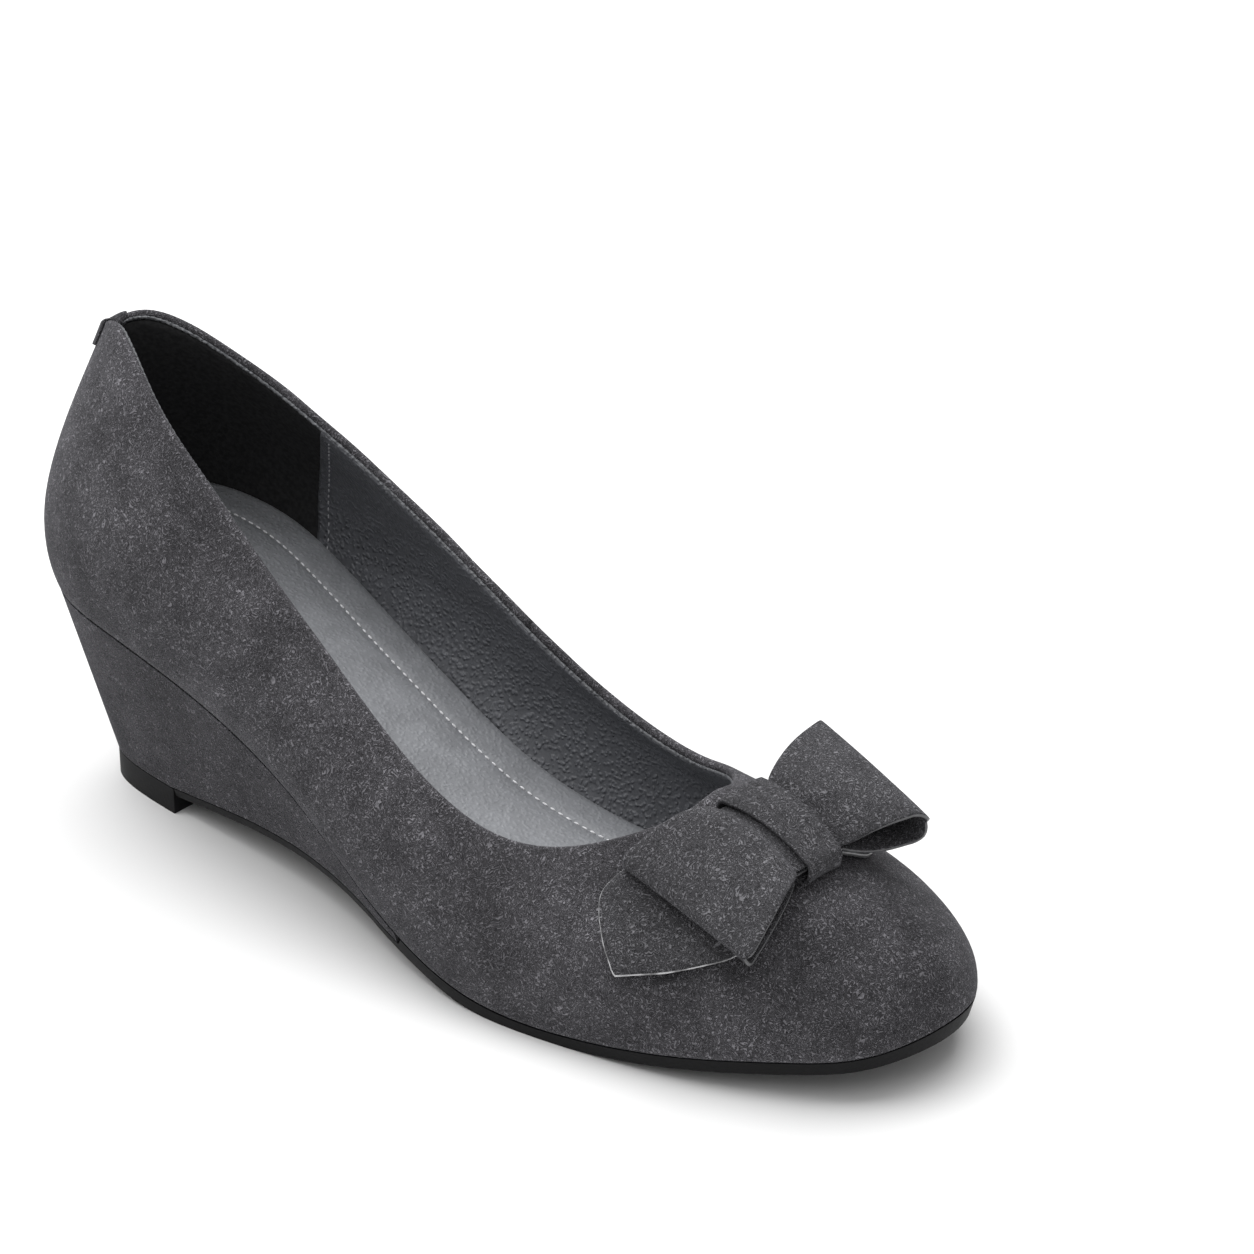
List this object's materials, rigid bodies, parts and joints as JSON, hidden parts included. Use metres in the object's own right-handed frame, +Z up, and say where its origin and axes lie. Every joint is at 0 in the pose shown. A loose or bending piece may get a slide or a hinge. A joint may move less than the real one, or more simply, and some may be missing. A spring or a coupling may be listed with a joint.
{
  "type": "wedge pump",
  "caption": "Women's suede wedge pump, right shoe, with a covered wedge heel, a thin rubber sole, a padded insole and a flat ribbon bow on the round toe.",
  "frame": {"origin": "middle of the flat heel tread, on the floor", "axes": "+X towards the toe, +Y towards the big toe side, +Z up"},
  "size_m": [0.242, 0.081, 0.11],
  "materials": {
    "upper_suede": "dark grey suede",
    "insole_leather": "smooth grey lining leather",
    "wedge_suede": "dark grey suede cover",
    "top_piece_rubber": "matte black",
    "sole_rubber": "matte black",
    "tab_suede": "dark grey suede",
    "tail_suede": "dark grey suede ribbon",
    "loop_suede": "dark grey suede ribbon",
    "knot_suede": "dark grey suede ribbon"
  },
  "bodies": {
    "root": {"upper": "upper_suede", "insole": "insole_leather", "wedge": "wedge_suede", "heel_top_piece": "top_piece_rubber", "outsole": "sole_rubber", "back_tab": "tab_suede", "bow_tails": "tail_suede", "bow_loops": "loop_suede", "bow_knot": "knot_suede"}
  },
  "joints": []
}
